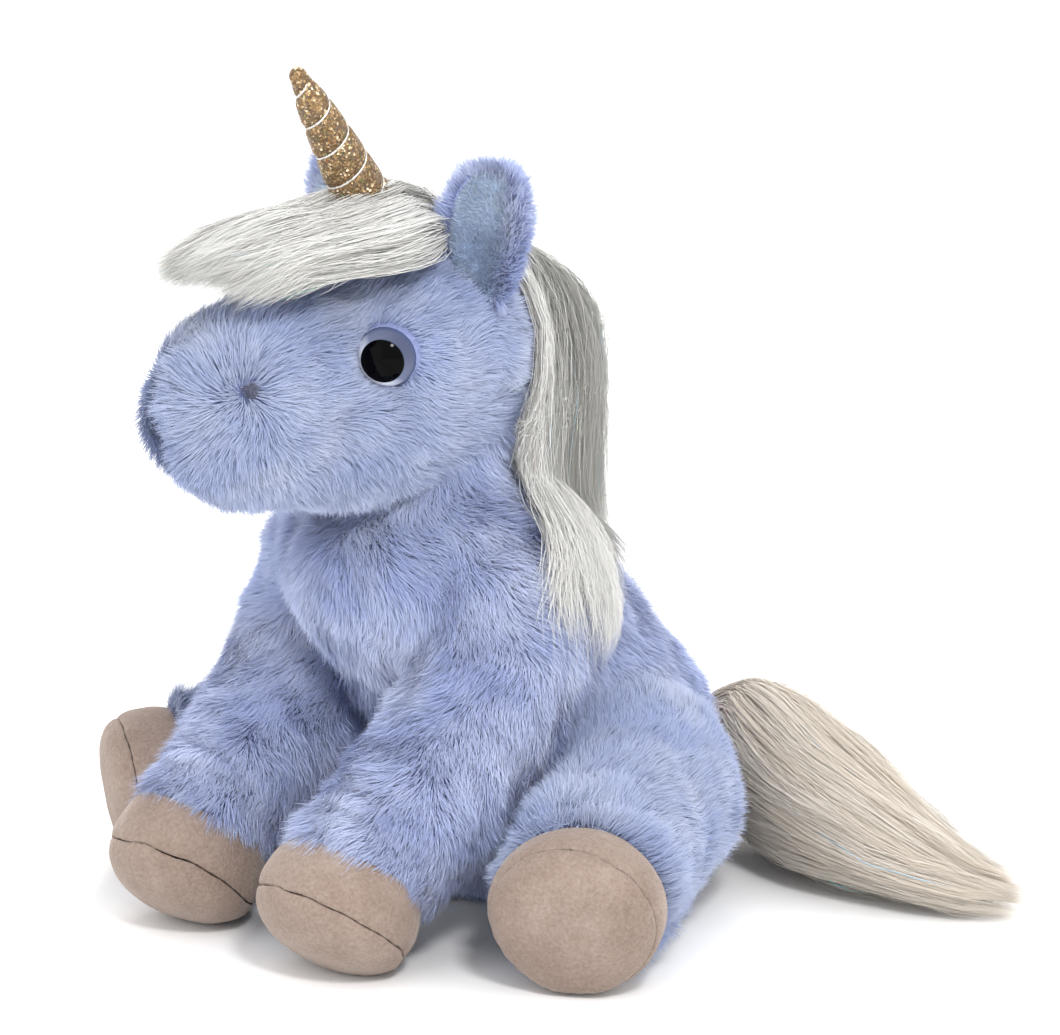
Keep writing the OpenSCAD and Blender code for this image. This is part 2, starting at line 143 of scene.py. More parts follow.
class Form:
    """A closed skin with its normals, and quick tests against it."""

    def __init__(self, verts, faces):
        self.v = np.asarray(verts, float)
        self.f = faces
        tris = []
        for f in faces:
            tris += [(f[0], f[i], f[i + 1]) for i in range(1, len(f) - 1)]
        self.t = np.array(tris)
        a, b, c = self.v[self.t[:, 0]], self.v[self.t[:, 1]], self.v[self.t[:, 2]]
        if np.sum(np.cross(a, b) * c) < 0:
            self.f = [tuple(reversed(f)) for f in faces]
            self.t = self.t[:, ::-1].copy()
            a, c = c, a
        cross = np.cross(b - a, c - a)
        self.area = np.linalg.norm(cross, axis=1) / 2
        n = np.zeros_like(self.v)
        for k in range(3):
            np.add.at(n, self.t[:, k], cross)
        self.n = unit(n)
        self.tree = BVHTree.FromPolygons([Vector(p) for p in self.v], [tuple(map(int, t)) for t in self.t])

    def grown(self, by):
        by = np.broadcast_to(by, len(self.v))
        return Form(self.v + self.n * by[:, None], self.f)

    def depth(self, points):
        """How deep each point lies inside, below zero outside."""
        out = np.full(len(points), -99.0)
        close = np.all((points > self.v.min(0) - 15) & (points < self.v.max(0) + 15), 1)
        for i in np.flatnonzero(close):
            p = points[i]
            q, n, _, d = self.tree.find_nearest(Vector(p))
            out[i] = d if (Vector(p) - q).dot(n) < 0 else -d
        return out

    def pushed(self, points, clear):
        """The points, with those nearer than clear to this form moved out to it."""
        flat = points.reshape(-1, 3).copy()
        clear = np.broadcast_to(clear, points.shape[:-1]).reshape(-1)
        for i in np.flatnonzero(np.all((flat > self.v.min(0) - 9) & (flat < self.v.max(0) + 9), 1)):
            p = flat[i]
            q, n, _, d = self.tree.find_nearest(Vector(p))
            out = (Vector(p) - q).dot(n)
            if out < 0 or d < clear[i]:
                flat[i] = np.array(q) + np.array(n) * clear[i]
        return flat.reshape(points.shape)

    def scatter(self, density, rng):
        count = int(self.area.sum() * density)
        share = np.cumsum(self.area) / self.area.sum()
        pick = self.t[np.minimum(np.searchsorted(share, rng.random(count)), len(self.t) - 1)]
        r1, r2 = np.sqrt(rng.random(count)), rng.random(count)
        w = np.stack([1 - r1, r1 * (1 - r2), r1 * r2], 1)[..., None]
        return (self.v[pick] * w).sum(1), unit((self.n[pick] * w).sum(1))


def ring_faces(rings, n):
    """The four-sided faces between rings of n points each."""
    return [(i * n + k, (i + 1) * n + k, (i + 1) * n + (k + 1) % n, i * n + (k + 1) % n)
        for i in range(rings - 1) for k in range(n)]


def loft(line, aim, around, level=False):
    """Closed skin through stations [x, y, z, half width, half depth], with the depth along aim."""
    line = np.asarray(line, float)
    c = line[:, :3]
    head = np.tile(Z, (len(c), 1)) if level else tangents(c)
    deep = unit(aim - (head @ aim)[:, None] * head)
    wide = np.cross(deep, head)
    a = np.arange(around) * 2 * math.pi / around
    p = (c[:, None] + wide[:, None] * line[:, 3, None, None] * np.cos(a)[None, :, None]
        + deep[:, None] * line[:, 4, None, None] * np.sin(a)[None, :, None])
    verts = np.concatenate([p.reshape(-1, 3), c[:1], c[-1:]])
    n, r = around, len(c)
    faces = ring_faces(r, n)
    faces += [((k + 1) % n, r * n, k) for k in range(n)]
    faces += [((r - 1) * n + k, r * n + 1, (r - 1) * n + (k + 1) % n) for k in range(n)]
    return Form(verts, faces)


def ball_end(line):
    s, nxt = np.array(line[0], float), np.array(line[1], float)
    d = unit(s[:3] - nxt[:3])
    return [[*(s[:3] + d * s[3] * math.sin(a)), s[3] * math.cos(a), s[4] * math.cos(a)]
        for a in np.radians([87, 80, 68, 55, 41, 28, 14])]


# --- meshes ---

def new_object(name, verts, faces, smooth_faces=True):
    mesh = bpy.data.meshes.new(name)
    mesh.from_pydata([tuple(p) for p in np.asarray(verts) * MM], [], [tuple(map(int, f)) for f in faces])
    mesh.polygons.foreach_set("use_smooth", np.full(len(mesh.polygons), smooth_faces))
    mesh.update()
    ob = bpy.data.objects.new(name, mesh)
    bpy.context.scene.collection.objects.link(ob)
    return ob


def attribute(ob, name, values):
    ob.data.attributes.new(name, "FLOAT", "POINT").data.foreach_set("value", np.asarray(values, np.float32))


def strip_mesh(name, verts, faces, along, shade):
    """A mesh of many equal strands, each point with its share of the length and its strand's shade."""
    count, size = verts.shape[:2]
    mesh = bpy.data.meshes.new(name)
    mesh.vertices.add(count * size)
    mesh.vertices.foreach_set("co", (verts * MM).astype(np.float32).ravel())
    mesh.loops.add(len(faces) * 3)
    mesh.loops.foreach_set("vertex_index", faces.astype(np.int32).ravel())
    mesh.polygons.add(len(faces))
    mesh.polygons.foreach_set("loop_start", np.arange(len(faces), dtype=np.int32) * 3)
    mesh.update(calc_edges=True)
    mesh.polygons.foreach_set("use_smooth", np.ones(len(faces), bool))
    ob = bpy.data.objects.new(name, mesh)
    bpy.context.scene.collection.objects.link(ob)
    attribute(ob, "along", np.tile(along, count))
    attribute(ob, "shade", np.repeat(shade, size))
    return ob


def strands(name, paths, radius, shade, sides=3):
    """One mesh of thin tapered tubes through paths (count, points, 3), with one shade a tube."""
    count, steps = paths.shape[:2]
    radius = np.broadcast_to(radius, (count, steps))
    t = unit(np.gradient(paths, axis=1))
    rng = np.random.default_rng(len(name) + count)
    mean = unit(paths[:, -1] - paths[:, 0])
    across = unit(np.cross(mean, unit(rng.normal(size=(count, 3)))))[:, None]
    a = unit(np.cross(t, across))
    b = np.cross(t, a)
    angle = np.arange(sides) * 2 * math.pi / sides
    ring = (paths[:, :-1, None] + radius[:, :-1, None, None]
        * (a[:, :-1, None] * np.cos(angle)[:, None] + b[:, :-1, None] * np.sin(angle)[:, None]))
    verts = np.concatenate([ring.reshape(count, -1, 3), paths[:, -1:]], 1)
    verts[..., 2] = np.maximum(verts[..., 2], 0.25)
    tris = []
    for i in range(steps - 2):
        for k in range(sides):
            p, q = i * sides + k, i * sides + (k + 1) % sides
            tris += [(p, q, q + sides), (p, q + sides, p + sides)]
    last, tip = (steps - 2) * sides, (steps - 1) * sides
    tris += [(last + k, last + (k + 1) % sides, tip) for k in range(sides)]
    tris += [(0, k + 1, k) for k in range(1, sides - 1)]
    size = tip + 1
    faces = (np.arange(count)[:, None, None] * size + np.array(tris)[None]).reshape(-1, 3)
    return strip_mesh(name, verts, faces, np.append(np.repeat(np.linspace(0, 1, steps)[:-1], sides), 1.0),
        shade)


def blades(name, paths, half, facing, shade):
    """One mesh of thin tapered hairs, each a narrow strip that faces outward, half its width to each side."""
    count, steps = paths.shape[:2]
    across = unit(np.cross(unit(np.gradient(paths, axis=1)), facing[:, None])) * np.broadcast_to(half,
        (count, steps))[..., None]
    rows = np.stack([paths - across, paths + across], 2)[:, :-1]
    verts = np.concatenate([rows.reshape(count, -1, 3), paths[:, -1:]], 1)
    verts[..., 2] = np.maximum(verts[..., 2], 0.25)
    tris = []
    for i in range(steps - 2):
        tris += [(2 * i, 2 * i + 1, 2 * i + 3), (2 * i, 2 * i + 3, 2 * i + 2)]
    tris.append((2 * steps - 4, 2 * steps - 3, 2 * steps - 2))
    size = 2 * steps - 1
    faces = (np.arange(count)[:, None, None] * size + np.array(tris)[None]).reshape(-1, 3)
    return strip_mesh(name, verts, faces, np.append(np.repeat(np.linspace(0, 1, steps)[:-1], 2), 1.0), shade)


def dressed(ob, mat, body, stands_for=()):
    """Gives a finished piece its material and body, and hides the CAD parts that it stands for."""
    ob.data.materials.clear()
    ob.data.materials.append(mat)
    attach(ob, body)
    if stands_for:
        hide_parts(*stands_for)
    return ob


# --- materials ---

def lin(r, g, b):
    return tuple((c / 12.92 if c <= 0.04045 else ((c + 0.055) / 1.055) ** 2.4)
        for c in (r / 255, g / 255, b / 255)) + (1.0,)


WHITE = (255, 255, 255)


class Paint:
    """A Principled material and short ways to add nodes to it."""

    def __init__(self, name, roughness=0.7, **constants):
        self.m = bpy.data.materials.new(name)
        self.m.use_nodes = True
        self.tree = self.m.node_tree
        self.shader = self.tree.nodes["Principled BSDF"]
        self.shader.inputs["Roughness"].default_value = roughness
        for key, value in constants.items():
            self.shader.inputs[key.replace("_", " ")].default_value = value
        self.place = None

    def node(self, kind, **settings):
        n = self.tree.nodes.new("ShaderNode" + kind)
        for key, value in settings.items():
            setattr(n, key, value)
        return n

    def link(self, a, b):
        self.tree.links.new(a, b)

    def value(self, name):
        return self.node("Attribute", attribute_name=name).outputs["Fac"]

    def where(self):
        if self.place is None:
            self.place = self.node("TexCoord").outputs["Object"]
        return self.place

    def noise(self, scale, detail=3.0, rough=0.55):
        n = self.node("TexNoise")
        n.inputs["Scale"].default_value = scale
        n.inputs["Detail"].default_value = detail
        n.inputs["Roughness"].default_value = rough
        self.link(self.where(), n.inputs["Vector"])
        return n.outputs["Fac"]

    def cells(self, scale, output="Distance"):
        n = self.node("TexVoronoi")
        n.inputs["Scale"].default_value = scale
        self.link(self.where(), n.inputs["Vector"])
        return n.outputs[output]

    def ramp(self, source, stops):
        n = self.node("ValToRGB")
        e = n.color_ramp.elements
        while len(e) < len(stops):
            e.new(0.5)
        for i, (at, colour) in enumerate(stops):
            e[i].position, e[i].color = at, lin(*colour)
        self.link(source, n.inputs["Fac"])
        return n.outputs["Color"]

    def math(self, how, a, b=0.0):
        n = self.node("Math")
        n.operation = how
        for k, v in enumerate((a, b)):
            if isinstance(v, (int, float)):
                n.inputs[k].default_value = v
            else:
                self.link(v, n.inputs[k])
        return n.outputs[0]

    def mix(self, share, a, b, how="MIX"):
        n = self.node("Mix")
        n.data_type, n.blend_type = "RGBA", how
        for k, v in ((0, share), (6, a), (7, b)):
            if isinstance(v, (int, float, tuple)):
                n.inputs[k].default_value = v
            else:
                self.link(v, n.inputs[k])
        return n.outputs[2]

    def product(self, a, b):
        return self.mix(1.0, a, b, "MULTIPLY")

    def bump(self, height, distance):
        n = self.node("Bump")
        n.inputs["Distance"].default_value = distance
        self.link(height, n.inputs["Height"])
        self.link(n.outputs["Normal"], self.shader.inputs["Normal"])

    def colour(self, out):
        self.link(out, self.shader.inputs["Base Color"])
        return self

    def rough(self, out):
        self.link(out, self.shader.inputs["Roughness"])
        return self


def pile_paint(name, root, deep, mid, tip, roughness=0.6, sheen=0.25):
    """Colour along a strand, darker towards the root as painted shade of the gaps deep in the pile, with each
    strand and each tuft a little lighter or darker.
    """
    p = Paint(name, roughness, Sheen_Weight=sheen, Sheen_Roughness=0.4, Specular_IOR_Level=0.15)
    # painted shade: the ramp darkens each strand towards its root, where the pile shades itself
    line = p.ramp(p.value("along"), [(0.0, root), (0.3, deep), (0.62, mid), (1.0, tip)])
    tuft = p.ramp(p.value("shade"), [(0.0, (234, 236, 245)), (0.5, (247, 248, 252)), (1.0, WHITE)])
    patch = p.ramp(p.noise(38, 2.0), [(0.35, (226, 232, 246)), (0.65, WHITE)])
    p.colour(p.product(p.product(line, tuft), patch))
    return p.m


fur_paint = pile_paint("fur", (167, 176, 208), (182, 190, 219), (192, 200, 226), (208, 214, 232), 0.7, 0.3)
# painted shade: a darker copy of the same fur, so that the head, which these lamps light more than the body,
# reads no brighter; the rear legs wear it too
shaded_fur_paint = pile_paint("head_fur", (153, 162, 193), (166, 176, 202), (176, 185, 208), (193, 199, 217), 0.7,
    0.3)
ear_pile = pile_paint("ear_pile", (170, 187, 205), (186, 201, 215), (200, 212, 223), (216, 224, 232))
# painted shade: the skin under the pile is coloured darker than the pile, so that the roots seen between the
# strands read dark
backing_painted_shade = Paint("fur_backing", 0.9, Sheen_Weight=0.1)
backing_painted_shade.colour(backing_painted_shade.ramp(backing_painted_shade.noise(700, 2.0), [(0.3, (112, 122, 164)), (0.7, (134, 144, 184))]))
backing_painted_shade.bump(backing_painted_shade.noise(1400, 1.0), 0.0003)

velour = Paint("hoof_velour", 0.85, Sheen_Weight=0.45, Sheen_Roughness=0.35, Specular_IOR_Level=0.2)
velour.shader.inputs["Sheen Tint"].default_value = lin(240, 230, 222)
# painted sheen: broad light and dark blotches stand in for the pile catching the light differently where it
# lies different ways; the taupe is the velour's own colour
painted_nap_sheen = velour.ramp(velour.noise(42, 5.0, 0.62), [(0.3, (138, 121, 111)), (0.5, (149, 132, 122)),
    (0.7, (161, 145, 135))])
pile = velour.ramp(velour.noise(900, 2.0), [(0.3, (228, 223, 219)), (0.7, WHITE)])
velour.colour(velour.product(painted_nap_sheen, pile))
velour.bump(velour.math("ADD", velour.noise(1500, 2.0),
    velour.math("MULTIPLY", velour.noise(120, 3.0), 1.6)), 0.0005)

lining = Paint("ear_lining", 0.85, Sheen_Weight=0.5, Sheen_Roughness=0.35, Specular_IOR_Level=0.2)
lining_base = lining.ramp(lining.noise(110, 4.0), [(0.3, (160, 180, 208)), (0.7, (186, 202, 224))])
lining_nap = lining.ramp(lining.noise(1100, 2.0), [(0.3, (206, 214, 226)), (0.7, WHITE)])
lining.colour(lining.product(lining_base, lining_nap))
lining.bump(lining.noise(1500, 2.0), 0.0005)

horn_paint = Paint("horn_knit", 0.4, Specular_IOR_Level=0.6)
knit = horn_paint.cells(1450, "Color")
fleck = horn_paint.node("SeparateColor")
horn_paint.link(knit, fleck.inputs["Color"])
base = horn_paint.ramp(fleck.outputs["Red"], [(0.0, (74, 56, 38)), (0.4, (118, 94, 64)),
    (0.75, (152, 124, 88)), (0.93, (190, 162, 124)), (1.0, (250, 232, 198))])
spark = horn_paint.ramp(fleck.outputs["Green"], [(0.9, WHITE), (0.94, (190, 255, 225)),
    (0.97, (255, 200, 160)), (1.0, (200, 215, 255))])
horn_paint.colour(horn_paint.product(base, spark))
horn_paint.rough(horn_paint.math("ADD", horn_paint.math("MULTIPLY", fleck.outputs["Blue"], 0.4), 0.22))
horn_paint.link(horn_paint.math("MULTIPLY", horn_paint.math("GREATER_THAN", fleck.outputs["Red"], 0.35),
    0.85), horn_paint.shader.inputs["Metallic"])
horn_paint.bump(horn_paint.cells(1450), 0.0003)

thread_paint = Paint("horn_thread", 0.35, Metallic=0.3, Sheen_Weight=0.2)
thread_paint.colour(thread_paint.ramp(thread_paint.noise(1600, 1.0),
    [(0.35, (196, 192, 186)), (0.65, (250, 248, 244))]))
thread_paint.bump(thread_paint.noise(2400, 1.0), 0.0002)


def hair_material(name, line, locks):
    """Colour along a hair, with each hair a little lighter or darker."""
    p = Paint(name, 0.55, Sheen_Weight=0.15, Specular_IOR_Level=0.2)
    p.colour(p.product(p.ramp(p.value("along"), line), p.ramp(p.value("shade"), locks)))
    return p.m


hair_paint = hair_material("long_hair", [(0.0, (208, 208, 204)), (0.35, (213, 213, 211)),
    (1.0, (218, 218, 216))], [(0.0, (238, 237, 233)), (0.5, (249, 248, 246)), (1.0, WHITE)])
# the tail's hair is browner and darker towards the root: partly its own cream colour, partly painted shade
# deep in the tail
tail_paint = hair_material("tail_hair", [(0.0, (214, 205, 195)), (0.4, (218, 211, 202)),
    (1.0, (222, 216, 208))], [(0.0, (236, 229, 219)), (0.5, (247, 244, 239)), (1.0, WHITE)])

tinsel_paint = Paint("tinsel", 0.18, Metallic=0.75)
tinsel_paint.colour(tinsel_paint.ramp(tinsel_paint.value("shade"),
    [(0.0, (255, 170, 200)), (0.3, (250, 210, 190)), (0.5, (170, 245, 215)), (0.75, (160, 220, 255)),
    (1.0, (235, 235, 240))]))

eye_paint = Paint("eye_plastic", 0.35, Coat_Weight=0.26, Coat_Roughness=0.02, Coat_IOR=1.33,
    Specular_IOR_Level=0.0)
ring = eye_paint.value("rim")
# painted highlight: the iris is light silver on its lower front side and dark grey-blue at its top back,
# standing in for the light the clear dome gathers onto it
iris_painted_highlight = eye_paint.ramp(eye_paint.value("turn"), [(0.0, (232, 236, 244)), (0.3, (206, 212, 226)),
    (0.55, (108, 115, 140)), (1.0, (72, 78, 100))])
inner = eye_paint.ramp(ring, [(0.0, (5, 5, 7)), (0.72, (8, 7, 10)), (0.745, WHITE), (1.0, WHITE)])
edge_share = eye_paint.ramp(ring, [(0.93, (0, 0, 0)), (1.0, WHITE)])
eye_paint.colour(eye_paint.product(eye_paint.mix(edge_share, iris_painted_highlight, lin(70, 78, 110)), inner))

knot_paint = Paint("stitch_thread", 0.6, Sheen_Weight=0.2)
knot_paint.colour(knot_paint.ramp(knot_paint.noise(900, 1.0), [(0.3, (36, 38, 56)), (0.7, (74, 78, 104))]))
knot_paint.bump(knot_paint.noise(2400, 1.0), 0.0002)

washer_paint = Paint("washer_plastic", 0.45)
washer_paint.colour(washer_paint.ramp(washer_paint.noise(200, 2.0),
    [(0.3, (214, 214, 212)), (0.7, (232, 232, 230))]))


# --- forms of the body, with the stations of the CAD covers ---

torso_line = [[0, 0, 0, 36, 44.25], [0, -0.3, 9, 46, 54.3], [0, -2, 30, 50, 59], [0, -5, 54, 48, 59],
    [0, -22, 77, 45, 58.4], [0, -40, 99, 42, 55.5], [0, -52, 118, 40.5, 43.7], [0, -54, 132, 33, 32],
    [0, -54, 142, 28, 28], [0, -54, 154, 28, 28], [0, -54, 166, 24, 24], [0, -54, 175, 15, 15],
    [0, -54, 179, 3, 3]]
head_line = [[0, -19 - 135.5 * s, 175 + rise, 37.5 * w, 38.5 * h] for s, rise, w,
    h in [(0.003, 1, 0.06, 0.06), (0.01, 1, 0.22, 0.22), (0.06, 1, 0.55, 0.56), (0.16, 0, 0.84, 0.84),
    (0.29, -2, 0.98, 0.98), (0.41, -5, 1, 1), (0.52, -7, 0.97, 0.95), (0.62, -7, 0.85, 0.89)]]
head_line += [[0, -19 - 135.5 * s, 175 + rise, 26.5 * w, 38.5 * h] for s, rise, w, h in [
    (0.72, -7.5, 1.02, 0.84), (0.81, -8.5, 1, 0.78), (0.885, -10, 0.94, 0.69), (0.95, -11.5, 0.72, 0.51),
    (0.985, -12.5, 0.44, 0.31), (0.998, -13, 0.16, 0.11)]]
fore_leg = [[40, -54, 97, 23, 23], [40.5, -62, 81, 24, 24], [38.4, -75, 62, 24.3, 24.3],
    [35.8, -95, 43, 24, 23.8], [34.5, -108, 33.5, 23, 22]]
rear_leg = [[50, -14, 36, 33, 33], [60.2, -29.2, 34, 30, 31.7], [71.4, -46, 31.5, 27.4, 29],
    [80, -61, 29, 26.7, 27.1], [88, -72, 27, 26.1, 25.4]]
fore_hoof, rear_hoof = np.array([34, -122, 20.4]), np.array([95, -83, 24.6])
fore_pitch, horn_lean = math.radians(35), math.radians(33.5)
fore_axis = np.array([0, -math.sin(fore_pitch), -math.cos(fore_pitch)])
rear_axis = heading(32, 9)
horn_place = np.array([0, -67, 206.0])
horn_way = np.array([0, -math.sin(horn_lean), math.cos(horn_lean)])

eye_place = np.array([29.5, -97, 181])
eye_way = heading(32, 8)
eye_radius, eye_rise = 9.0, 6.5
nostril_place = np.array([20.8, -142.7, 176])

fine = 6
torso_plain = loft(smooth(torso_line, fine), Y, 72, level=True)
head_top = loft(smooth(head_line, fine), Z, 72)


def shaped_head(form):
    """The stitched eyes pull in the cheeks below them and the brow in front of them."""
    v = form.v.copy()
    for m in MIRRORS:
        for place, wide, deep in ((eye_place, 12, 1.2), (eye_place + [2, 2, -19], 7, 2.6),
                (eye_place + [-7, -18, 17], 11, 2.2), (nostril_place, 6, 1.6)):
            d = np.linalg.norm(v - place * m, axis=1)
            v -= form.n * (deep * np.exp(-((d / wide) ** 2)))[:, None]
    return Form(v, form.f)


head_top = shaped_head(head_top)


def seated(form):
    """The cloth round each eye lies against the back of the dome's rim."""
    v = form.v.copy()
    for m in MIRRORS:
        rel, way = v - eye_place * m, eye_way * m
        axial = rel @ way
        flat = np.linalg.norm(rel - axial[:, None] * way, axis=1)
        v += way * ((-1.0 - axial) * np.exp(-((flat / 12.5) ** 4)) * (np.abs(axial) < 17))[:, None]
    return Form(v, form.f)


head_skin = seated(head_top.grown(-SKIN_DEPTH))


def leg_forms(line, side, aim, hoof, axis):
    """The leg's skin, which runs on into its hoof."""
    rest = smooth(line, fine)
    inner = [[*(hoof + axis * h), k * rest[-1][3], k * rest[-1][4]] for h,
        k in ((-13, 0.98), (-8, 0.9), (-4, 0.7), (0, 0.4), (1, 0.1))]
    full = mirrored(np.concatenate([np.array(ball_end(line)), rest, np.array(inner)]), side)
    return loft(full, aim, 56)


legs = {}
for side, word in SIDES:
    legs["front_leg_" + word] = (leg_forms(fore_leg, side, Y, fore_hoof, fore_axis), fore_leg, fore_hoof,
        fore_axis, side, Y)
    legs["rear_leg_" + word] = (leg_forms(rear_leg, side, Z, rear_hoof, rear_axis), rear_leg, rear_hoof,
        rear_axis, side, Z)


def swept(form, others, share, amount, width):
    """Swells a form where it runs into others, so that the cloth goes over them in one sweep."""
    close = np.max([np.exp(-((o.depth(form.v) / width) ** 2)) for o in others], 0)
    return form.grown(amount * close * share(form.v))


def shoulder_share(v):
    return step(v[:, 2], 86, 108) * step(v[:, 1], -96, -70)


def flank_share(v):
    return step(v[:, 2], 30, 55) * step(-v[:, 1], -40, 10)


plain = {k: v[0] for k, v in legs.items()}
front, rear = ([plain[a + b] for b in ("left", "right")] for a in ("front_leg_", "rear_leg_"))
torso_top = swept(swept(torso_plain, front, shoulder_share, 6.5, 12), rear, flank_share, 3, 8)
leg_tops = {k: swept(f, [torso_plain], shoulder_share, 6.5, 12) if k.startswith("front")
    else swept(f, [torso_plain], flank_share, 3, 8) for k, f in plain.items()}
fore_tops = [leg_tops["front_leg_" + word] for _, word in SIDES]
torso_skin = torso_top.grown(-SKIN_DEPTH)
leg_skins = {k: f.grown(-SKIN_DEPTH) for k, f in leg_tops.items()}

dressed(new_object("torso_skin", np.maximum(torso_skin.v, [-999, -999, LOWEST]), torso_skin.f), backing_painted_shade.m,
    "torso", ["torso_cover", "torso_filling", "pellet_pouch"])
dressed(new_object("head_skin", head_skin.v, head_skin.f), backing_painted_shade.m, "head",
    ["head_cover", "head_filling"])
for name, form in leg_skins.items():
    dressed(new_object(name + "_skin", np.maximum(form.v, [-999, -999, LOWEST]), form.f), backing_painted_shade.m, name,
        [name + "_cover", name + "_filling"])
neck_line = [[0, -54, z, r, r] for z, r in ((134, 20), (135, 24), (152, 24), (163, 21), (170, 15), (175, 5))]
neck_form = loft(smooth(neck_line, 3), Y, 48, level=True)
dressed(new_object("neck_stuffing", neck_form.v, neck_form.f), backing_painted_shade.m, "neck",
    ["neck_filling"])


# --- fur ---

def fur(form, density, flow, length, seed, keep=None, lean=(34, 62), pull=0.2):
    """Short pile on a skin, gathered into small tufts: the three points, facing and shade of each strand."""
    rng = np.random.default_rng(seed)
    p, n = form.scatter(density, rng)
    if keep is not None:
        m = keep(p)
        p, n = p[m], n[m]
    f = flow(p, n)
    f = unit(f - n * np.sum(f * n, 1, keepdims=True))
    f = spin(f, n, 0.45 * wave(p, 26, seed + 1) + 0.35 * wave(p, 9, seed + 2)
        + 0.22 * rng.normal(size=len(p)))
    long = length(p) * rng.uniform(0.75, 1.15, len(p)) * (1 + 0.12 * wave(p, 12, seed + 5))
    a = np.radians(lean[0] + 10 * wave(p, 13, seed + 3) + 10 * rng.normal(size=len(p)))[:, None]
    b = np.radians(lean[1] + 13 * wave(p, 11, seed + 4) + 12 * rng.normal(size=len(p)))[:, None]
    root = p - n * 0.7
    mid = root + 0.5 * long[:, None] * (n * np.cos(a) + f * np.sin(a))
    tip = mid + 0.5 * long[:, None] * (n * np.cos(b) + f * np.sin(b))
    heads = rng.permutation(len(p))[:max(1, int(form.area.sum() / 9))]
    mine = nearest_head(p, heads)
    share = (pull * rng.uniform(0.6, 1.25, len(p)))[:, None]
    tip += share * (tip[heads][mine] - tip)
    mid += 0.4 * share * (mid[heads][mine] - mid)
    shade = 0.45 * rng.random(len(heads))[mine] + 0.55 * rng.random(len(p))
    return np.stack([root, mid, tip], 1), unit(n + 0.18 * rng.normal(size=n.shape)), shade


def lay_fur(name, body, pile, paint=None):
    paths, facing, shade = pile
    parts = max(1, math.ceil(len(paths) * 3 / LIMIT))
    for i in range(parts):
        dressed(blades(f"{name}_{i + 1}", paths[i::parts], FUR_WIDTH, facing[i::parts], shade[i::parts]),
            paint or fur_paint, body)


def shallow(forms, limit):
    """Keeps roots that aren't buried deeper than limit in any of the forms."""
    def keep(p):
        ok = np.ones(len(p), bool)
        for f in forms:
            ok[ok] = f.depth(p[ok]) < limit
        return ok
    return keep


def torso_flow(p, n):
    f = np.array([0, 0.25, -1.0]) + np.stack([0.5 * step(-p[:, 1], 40, 90) * p[:, 0] / 50, 0 * p[:, 0],
        0 * p[:, 0]], 1)
    under = step(-n[:, 2], 0.7, 1.0)[:, None]
    return f * (1 - under) + unit(p * [1, 1, 0] + [0, 0.01, 0]) * under


def torso_length(p):
    return 9.6 - 5.5 * step(6 - p[:, 2], 0, 5)


def head_flow(p, n):
    back = np.tile(Y, (len(p), 1)) + np.stack([0 * p[:, 0], 0 * p[:, 0],
        -0.75 * step(168 - p[:, 2], 0, 30)], 1)
    muzzle = step(-p[:, 1], 116, 136)[:, None]
    mouth = np.stack([np.sign(p[:, 0] + 0.01), np.ones(len(p)), np.ones(len(p))], 1) * nostril_place
    f = unit(back) * (1 - 0.8 * muzzle) + unit(p - mouth) * muzzle
    for m in MIRRORS:
        for place, size, gain in ((eye_place, 12, 1.3), (nostril_place, 5, 1.0)):
            away = p - place * m
            d = np.linalg.norm(away, axis=1)
            f = f + gain * unit(away) * np.exp(-((d / size) ** 4))[:, None]
    return f


def head_length(p):
    out = np.full(len(p), 9.2)
    for m in MIRRORS:
        out *= 1 - 0.48 * np.exp(-((np.linalg.norm(p - eye_place * m, axis=1) / 14) ** 6))
        out *= 1 - 0.5 * np.exp(-((np.linalg.norm(p - nostril_place * m, axis=1) / 5) ** 2))
    return out


def head_keep(p):
    ok = shallow([torso_skin], 6)(p)
    for m in MIRRORS:
        rel = p - eye_place * m
        way = eye_way * m
        axial = rel @ way
        ok &= (np.linalg.norm(rel - axial[:, None] * way, axis=1) > 8.7) | (axial < -14)
    return ok


everyone = list(leg_skins.values())
lay_fur("torso_fur", "torso", fur(torso_skin, FUR_DENSITY, torso_flow, torso_length, 11,
    shallow([head_skin] + everyone, 3)))
# the head takes the darker copy of the fur paint: painted shade
lay_fur("head_fur", "head", fur(head_skin, FUR_DENSITY * 1.1, head_flow, head_length, 23, head_keep),
    paint=shaded_fur_paint)

for number, (name, (form, line, hoof, axis, side, aim)) in enumerate(legs.items()):
    m = np.array([side, 1, 1])
    way, centre = axis * m, hoof * m
    start, end = np.array(line[0][:3]) * m, np.array(line[-1][:3]) * m

    def leg_flow(p, n, start=start, end=end, way=way, over=np.array([0.7, 0.1, -0.75]) * m,
            back=name.startswith("rear")):
        t = np.clip((p - start) @ (end - start) / np.sum((end - start) ** 2), 0, 1)[:, None]
        first = step(t, 0.05, 0.5)
        along = unit(end - start) * (1 - t) + way * t + np.array([0, 0, -0.3])
        if back:
            return unit(start - end) + np.array([0, 0, -0.25])
        return over * (1 - first) + along * first

    def leg_length(p, centre=centre, way=way):
        rim = (p - centre) @ way
        return 9.2 + 0.8 * near(rim, -14, 4) - 5.0 * step(7 - p[:, 2], 0, 6)

    def leg_keep(p, centre=centre, way=way, rim_at=-9.5 if name.startswith("rear") else -12.0):
        return ((p - centre) @ way < rim_at) & shallow([torso_skin], 3.5)(p)

    # the rear legs take the darker copy of the fur paint: painted shade
    lay_fur(name + "_fur", name, fur(leg_skins[name], FUR_DENSITY, leg_flow, leg_length, 31 + number,
        leg_keep, lean=(30, 62)), paint=shaded_fur_paint if name.startswith("rear") else None)


# --- hooves: two panels of velour with a sunk seam between them ---

